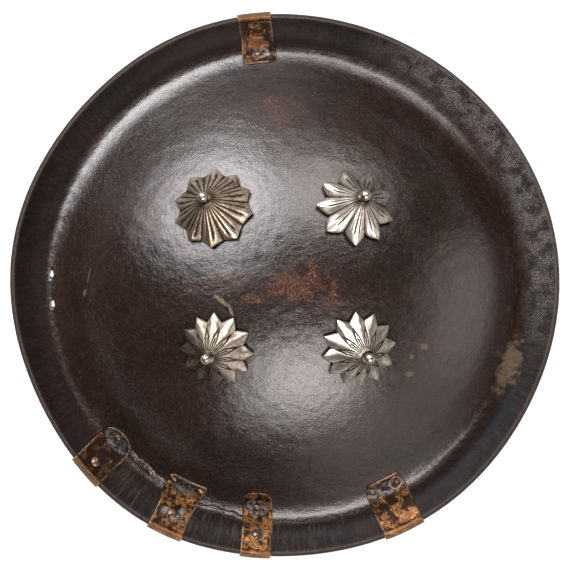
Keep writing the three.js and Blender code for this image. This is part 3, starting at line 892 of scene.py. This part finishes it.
def patch(g, across, down, half_width, half_height, turn=0.0, ragged=0.5):
    """Soft mask over a place seen at a pixel of the photo."""
    middle, size = (*seen_at(across, down), 0.0), (half_width, half_height, 1.0)
    place = g.placed("TEXTURE", g.stretched(1.0, 1.0, 0.0), turn, size, middle)
    wander = g.span(g.noise(0.11, 3), 0.3, 0.7, -ragged, ragged, kind="LINEAR")
    return g.span(g.total(g.vector("LENGTH", place), wander), 0.45, 1.15, 1.0, 0.0)


def patches(g, places):
    return g.chain("MAXIMUM", [patch(g, *place) for place in places])


# Places of worn lacquer: pixel across and down in the photo, half width and height in
# mm, and the turn in degrees and the raggedness where they aren't 0 and a half
RED_CRACKLE = [
    (298, 284, 33, 16), (165, 190, 16, 9, 30), (285, 110, 24, 16), (228, 281, 24, 10),
    (190, 240, 12, 14), (330, 300, 16, 8, 20), (175, 205, 12, 8), (150, 220, 14, 20),
]
OCHRE_FLECKS = [
    (298, 288, 24, 13), (270, 100, 10, 4, 20), (334, 290, 5, 8), (312, 268, 6, 9),
    (252, 298, 10, 5),
]
TAN_SCRAPES = [(222, 301, 2.0, 9, 52, 0.35), (231, 311, 1.7, 6, 20, 0.35)]
OCHRE_SPOTS = [
    (425, 347, 4, 3), (412, 357, 2.6, 2.6), (409, 374, 4, 3),
    (89, 276, 0.6, 8, -12), (85, 293, 2, 4, -12),
]
TAN_PATCH = (509, 366, 11, 25, -14)
BLUISH_PATCH = (503, 414, 9, 30, -38)
DARK_SMUDGES = [
    (295, 65, 10, 3), (367, 80, 10, 8, -35), (392, 118, 18, 8, -30), (330, 60, 8, 4),
    (254, 124, 4, 3),
]
# Sides of the brim where the lacquer is rubbed, the first also with painted glints: azimuth and
# half the reach, in degrees
RUBBED_AND_GLINTING_BRIM = [(28, 48), (254, 38)]
BRIM_GLOSS = 0.10
DULL_FOOT = (0, 50)  # side of the shield where the dome's foot is dull as well
SCRATCH_TURNS = (18, 74, 131)
STREAK_TURNS, STREAK_ALONG = 60.0, 0.05  # how fine the streaks are round and out


def hide_grain(g):
    """Height of the fine grain of the lacquered hide, and its broader brushed part."""
    pores = g.cells(0.6, "F1")
    crackle = g.cells(0.2, "DISTANCE_TO_EDGE")
    fine = g.noise(0.85, 6, 0.7)
    brushed = g.noise(0.2, 6, 0.7, vector=g.stretched(1.0, 2.0, 1.0))
    edges = g.span(crackle, 0.0, 0.12, -0.12, 0.0)
    height = g.total(g.product(pores, 0.35), edges, g.product(fine, 1.3), g.product(brushed, 0.9))
    return height, brushed


def around_rim(g):
    """Coordinates that follow the rim without a seam, the radius, and the direction."""
    level = g.stretched(1.0, 1.0, 0.0)
    direction = g.vector("NORMALIZE", level)
    radius = g.vector("LENGTH", level)
    outward = g.node("CombineXYZ", {"Z": g.product(radius, STREAK_ALONG)}).outputs[0]
    return g.vector("ADD", g.scaled(direction, STREAK_TURNS), outward), radius, direction


def facing(g, direction, azimuth, half_reach):
    """Soft mask over one side of the rim."""
    turn = math.radians(azimuth)
    side = g.vector("DOT_PRODUCT", direction, (math.cos(turn), math.sin(turn), 0.0))
    return g.span(side, math.cos(math.radians(half_reach)), math.cos(math.radians(half_reach / 3)))


def scratches(g, turn):
    """Hair-fine light scratches running one way."""
    place = g.placed("POINT", g.position, turn, (2.6, 0.07, 1.0))
    return g.span(g.noise(0.5, 2, 0.5, vector=place), 0.69, 0.74)


def lacquer_colour(g):
    """Black-brown lacquer, clouded, specked and scratched."""
    broad = g.noise(0.012, 3, 0.5)
    cloud = g.noise(0.05, 4, 0.6)
    mottle = g.noise(0.3, 6, 0.75)
    g.colour = g.mix(g.span(broad, 0.35, 0.7), (0.0105, 0.0052, 0.0037), (0.018, 0.0089, 0.0062))
    g.paint((0.027, 0.0145, 0.0105), g.span(cloud, 0.5, 0.75, 0, 0.55))
    g.paint((0.045, 0.024, 0.017), g.span(mottle, 0.5, 0.68, 0, 0.5))
    speck = g.span(g.noise(0.7, 3, 0.7), 0.6, 0.72)
    g.paint((0.085, 0.05, 0.036), speck, 0.35)
    for turn in SCRATCH_TURNS:
        g.paint((0.11, 0.08, 0.062), scratches(g, turn), 0.35)
    return speck


def worn_lacquer(g):
    """Places where the lacquer has crackled or rubbed through, with the reddest of them."""
    flecked = g.stretched(1.7, 0.75, 1.0)
    red_place = patches(g, RED_CRACKLE)
    g.paint((0.036, 0.0125, 0.008), red_place, 0.5)
    red = g.product(red_place, g.span(g.noise(0.45, 7, 0.75, vector=flecked), 0.5, 0.62))
    g.paint((0.13, 0.030, 0.013), red, 0.36)
    fleck = g.span(g.noise(0.8, 6, 0.8, vector=flecked), 0.545, 0.61)
    g.paint((0.46, 0.16, 0.05), patches(g, OCHRE_FLECKS), fleck, 0.9)
    g.paint((0.13, 0.078, 0.04), patches(g, OCHRE_SPOTS), 0.65)
    broken = g.span(g.noise(0.5, 5, 0.7), 0.35, 0.55, 0.2, 0.9)
    g.paint((0.20, 0.14, 0.085), patches(g, TAN_SCRAPES), broken)
    g.paint((0.005, 0.004, 0.0035), patches(g, DARK_SMUDGES), 0.7)
    return red


def brim_colour(g, streaks, direction, radius, brim):
    """Darker lacquer on the brim, rubbed on two of its sides: to light speckles, partly painted
    glints of the grain, on one, and to streaks on the other.
    """
    g.paint((0.005, 0.0035, 0.003), brim, 0.65)
    rubbed_and_glint_side, streak_side = [facing(g, direction, *side) for side in RUBBED_AND_GLINTING_BRIM]
    rubbed_and_glint_specks = g.span(g.noise(1.2, 5, 0.88), 0.47, 0.6)
    clusters = g.span(g.noise(0.09, 5), 0.38, 0.58, 0.25, 1.0)
    outside = g.span(radius, 211, 236)
    # Light speckles on one side of the outer brim: rubbed lacquer, and painted glints of the grain
    g.paint((0.23, 0.20, 0.19), rubbed_and_glint_specks, clusters, rubbed_and_glint_side, outside)
    amount = g.total(0.08, g.product(streak_side, 0.36))
    cloud = g.span(g.noise(0.07, 5, 0.7), 0.35, 0.6, 0.45, 1.0)
    lines = g.span(streaks, 0.42, 0.72)
    g.paint((0.075, 0.056, 0.048), brim, lines, amount, cloud)
    g.paint((0.0045, 0.0055, 0.0085), patch(g, *BLUISH_PATCH), 0.8)
    tan_break = g.span(g.noise(0.3, 5, 0.7), 0.3, 0.6, 0.6, 1.0)
    g.paint((0.098, 0.068, 0.043), patch(g, *TAN_PATCH), tan_break, 0.9)


def lacquered_hide():
    g = Graph("lacquered_hide")
    grain, brushed = hide_grain(g)
    streak_place, radius, direction = around_rim(g)
    streaks = g.noise(1.0, 5, 0.65, vector=streak_place)
    brim = g.span(radius, 217, 225)

    speck = lacquer_colour(g)
    plain = g.colour
    red = worn_lacquer(g)
    brim_colour(g, streaks, direction, radius, brim)
    g.colour = g.mix(g.attribute("face"), plain, g.colour)
    rubbed = g.span(g.noise(0.5, 5, 0.7), 0.35, 0.6, 0.3, 0.9)
    g.paint((0.085, 0.062, 0.05), g.attribute("edge_wear"), rubbed)
    fibres = g.span(g.noise(0.8, 4, 0.7), 0.35, 0.6)
    g.paint((0.24, 0.17, 0.10), g.attribute("torn"), fibres)
    # Painted shade, near black, down in the open cracks
    g.paint((0.003, 0.0025, 0.002), g.span(g.attribute("cracked"), 0.25, 0.8))

    rough = g.span(brushed, 0.3, 0.7, 0.17, 0.27)
    rough = g.total(rough, g.product(red, 0.18), g.product(brim, 0.15))
    rough = g.maths("ADD", rough, g.product(speck, 0.12), clamp=True)
    dull = g.product(facing(g, direction, *DULL_FOOT), g.span(radius, 178, 200), -0.85)
    gloss = g.product(g.span(radius, 214.5, 221, 1.0, BRIM_GLOSS), g.total(dull, 1.0))
    g.set("Specular IOR Level", g.maths("MAXIMUM", gloss, BRIM_GLOSS))
    g.set("Specular Tint", (1.0, 0.94, 0.91))

    normal = g.bump(g.noise(0.075, 3, 0.5), 0.0009, 0.8)
    normal = g.bump(grain, 0.00018, 0.8, normal)
    return g.finished(0.0, rough, g.bump(g.product(streaks, brim), 0.0006, 0.8, normal))


def silvered_metal(name, warmth, apex_stain):
    g = Graph(name)
    mottle = g.noise(0.16, 5, 0.65)
    fine = g.noise(0.9, 4, 0.6)
    bright = g.mix(warmth, (0.92, 0.86, 0.79), (0.63, 0.48, 0.34))
    dull = g.mix(warmth, (0.48, 0.39, 0.30), (0.26, 0.17, 0.10))
    g.colour = g.mix(g.span(mottle, 0.42, 0.65, 0, 0.8), bright, dull)
    apex = g.span(g.attribute("share"), 0.2, 0.42, apex_stain, 0.0)
    g.paint((0.10, 0.046, 0.025), apex)
    # Painted shade, dark brown and clouded, over the side of the boss that catches less light
    clouded = g.span(fine, 0.2, 0.6, 0.75, 1.0)
    g.paint((0.05, 0.029, 0.018), g.attribute("tarnish"), clouded)
    # Dark brown in the grooves and between the petals, partly brown oxide and partly painted
    # shade, and painted shade under the boss
    uneven = g.span(fine, 0.35, 0.7, -0.3, 0.3, kind="LINEAR")
    groove_oxide_and_shade = g.maths("ADD", g.attribute("groove"), uneven, clamp=True)
    g.paint((0.024, 0.0125, 0.007), g.span(groove_oxide_and_shade, 0.25, 0.8, 0, 0.95))
    rough = g.total(g.span(mottle, 0.35, 0.7, 0.34, 0.44), g.product(groove_oxide_and_shade, 0.15))
    return g.finished(1.0, rough, g.bump(g.total(fine, g.product(mottle, 2.0)), 0.00014, 0.5))


def ball_metal():
    g = Graph("ball_metal")
    mottle = g.noise(0.3, 4, 0.6)
    g.colour = g.mix(g.span(mottle, 0.4, 0.7), (0.60, 0.54, 0.47), (0.30, 0.21, 0.14))
    g.paint((0.045, 0.026, 0.016), g.attribute("marked"), 0.92)
    rough = g.span(mottle, 0.3, 0.7, 0.24, 0.4)
    return g.finished(1.0, rough, g.bump(g.noise(0.9, 4), 0.0001, 0.4))


def dark_iron():
    g = Graph("dark_iron")
    rust = g.span(g.noise(0.35, 5, 0.7), 0.5, 0.7)
    g.colour = g.mix(rust, (0.075, 0.066, 0.06), (0.13, 0.055, 0.028))
    rough = g.span(rust, 0, 1, 0.5, 0.8)
    return g.finished(0.75, rough, g.bump(g.noise(0.8, 5, 0.7), 0.0003, 0.7))


def strap_blotches(g, dirt):
    """Where the copper is dark: broad blotches broken up by finer spots."""
    spots = g.noise(0.42, 7, 0.78)
    broad = g.span(g.total(g.noise(0.12, 5, 0.62), dirt), 0.45, 0.565)
    fine = g.span(g.total(spots, dirt), 0.465, 0.58, 0, 0.88)
    return g.maths("MAXIMUM", broad, fine), spots


def copper_strap():
    g = Graph("copper_alloy_strap")
    fold = g.attribute("fold")
    dark, spots = strap_blotches(g, g.attribute("dirt"))
    tint = g.span(g.noise(0.1, 3), 0.35, 0.65)
    g.colour = g.mix(tint, (0.30, 0.125, 0.040), (0.18, 0.085, 0.032))
    cover = g.maths("SUBTRACT", 1.0, g.product(fold, 0.25))
    cover = g.maths("SUBTRACT", cover, g.product(g.attribute("bare"), 0.45), clamp=True)
    dark = g.product(dark, cover)
    g.paint((0.009, 0.005, 0.0035), dark, 0.97)
    greyed = g.span(g.noise(0.22, 5), 0.38, 0.6)
    grey_tone = g.mix(greyed, (0.15, 0.125, 0.115), (0.024, 0.018, 0.017))
    grey_tone = g.mix(g.span(spots, 0.56, 0.66), grey_tone, (0.45, 0.38, 0.34))
    g.paint(grey_tone, g.attribute("grey"))
    g.paint((0.36, 0.165, 0.07), fold, 0.25)
    # Painted shade in the sunk creases, broken up by the spots
    ragged = g.span(spots, 0.36, 0.56, 0.25, 0.9)
    g.paint((0.02, 0.011, 0.007), g.attribute("crease"), ragged)
    worn = g.span(spots, 0.36, 0.6)
    g.paint((0.58, 0.36, 0.23), g.attribute("edge"), worn, 0.8)
    height = g.maths("SUBTRACT", spots, g.product(dark, 0.3))
    return g.finished(0.92, g.span(dark, 0.0, 1.0, 0.36, 0.46), g.bump(height, 0.0005, 0.7))


def copper_rivet():
    g = Graph("copper_alloy_rivet")
    dark, spots = strap_blotches(g, 0.0)
    g.colour = g.mix(g.span(spots, 0.4, 0.6), (0.30, 0.19, 0.12), (0.2, 0.1, 0.05))
    g.paint((0.05, 0.035, 0.028), dark, 0.7)
    return g.finished(0.9, g.span(dark, 0.0, 1.0, 0.28, 0.42), g.bump(spots, 0.0003, 0.5))


# Room: soft boxes by azimuth and tilt from straight up as seen from the shield, size
# in metres, brightness and colour
LIGHT_DISTANCE = 2.2
LIGHTS = [
    ("key", 128, 43, (1.5, 1.5), 10.3, (0.94, 0.98, 1.02)),
    ("upper_right", 66, 42, (1.0, 1.0), 5.6, (1.0, 1.0, 1.0)),
    ("lower", 281, 38, (1.35, 1.1), 7.4, (1.0, 1.0, 1.0)),
    ("right", 352, 74, (1.7, 1.0), 1.4, (1.0, 0.98, 0.96)),
    ("far_top", 105, 73, (2.0, 1.1), 0.75, (0.97, 0.99, 1.0)),
    ("far_bottom", 302, 73, (1.9, 1.1), 0.75, (1.0, 0.99, 0.98)),
]
WORLD_STRENGTH = 0.025
FLOOR_REACH = 420
FLOOR_DEPTH = 0.5  # below the shield
FLOOR_GLOW = 0.92  # makes the floor as white as the photo's background


def build_floor():
    signs = [(-1, -1, 0), (1, -1, 0), (1, 1, 0), (-1, 1, 0)]
    floor = add_mesh("floor", FLOOR_REACH * np.array(signs), [(0, 1, 2, 3)])
    floor.location.z = -FLOOR_DEPTH * MM
    g = Graph("pale_floor")
    g.colour = (0.3, 0.3, 0.3)
    g.set("Emission Color", (1, 1, 1))
    g.set("Emission Strength", FLOOR_GLOW)
    floor.data.materials.append(g.finished(0.0, 0.9, None))


def build_camera():
    camera = add_object("camera", bpy.data.cameras.new("camera"))
    half_view = PHOTO_SIZE / 2
    offset_x = (half_view - OUTLINE_MIDDLE[0]) * PIXEL
    offset_y = (OUTLINE_MIDDLE[1] - half_view) * PIXEL
    camera.location = Vector((offset_x, offset_y, CAMERA_HEIGHT)) * MM
    camera.data.angle = 2 * math.atan(half_view * PIXEL / (CAMERA_HEIGHT - OUTLINE_HEIGHT))
    bpy.context.scene.camera = camera


def build_lights():
    for name, azimuth, tilt, size, brightness, colour in LIGHTS:
        data = bpy.data.lights.new(f"{name}_light", "AREA")
        data.shape = "RECTANGLE"
        data.size, data.size_y = size
        data.energy = brightness * math.pi * size[0] * size[1]
        data.color = colour
        light = add_object(f"{name}_light", data)
        lean = math.radians(tilt)
        away = Vector(around(math.sin(lean), math.radians(azimuth), math.cos(lean)))
        light.location = away * LIGHT_DISTANCE
        light.rotation_euler = away.to_track_quat("Z", "Y").to_euler()
    world = bpy.data.worlds.new("studio")
    world.use_nodes = True
    background = world.node_tree.nodes["Background"]
    background.inputs["Color"].default_value = (1, 1, 1, 1)
    background.inputs["Strength"].default_value = WORLD_STRENGTH
    bpy.context.scene.world = world


def build_shield():
    finish_piece(build_hide(), "shield_hide", lacquered_hide())
    balls, iron = ball_metal(), dark_iron()
    for boss in BOSSES:
        name = boss["name"]
        metal = silvered_metal(f"silvered_metal_{name}", boss["warmth"], boss["apex"])
        seat = build_boss(boss, metal)
        bolt = turned_piece(f"ball_bolt_{name}", bolt_profile(), seat, marked=DARK_BOLT)
        finish_piece(bolt, f"boss_bolt_{name}", balls)
        washer = turned_piece(f"back_washer_{name}", washer_profile(), seat)
        finish_piece(washer, f"boss_washer_{name}", iron)
    strap_metal, rivet_metal = copper_strap(), copper_rivet()
    for strap in STRAPS:
        build_strap(strap, strap_metal)
        build_rivets(strap, rivet_metal)


bpy.context.scene.view_settings.view_transform = "Standard"
build_camera()
build_lights()
build_floor()
build_shield()
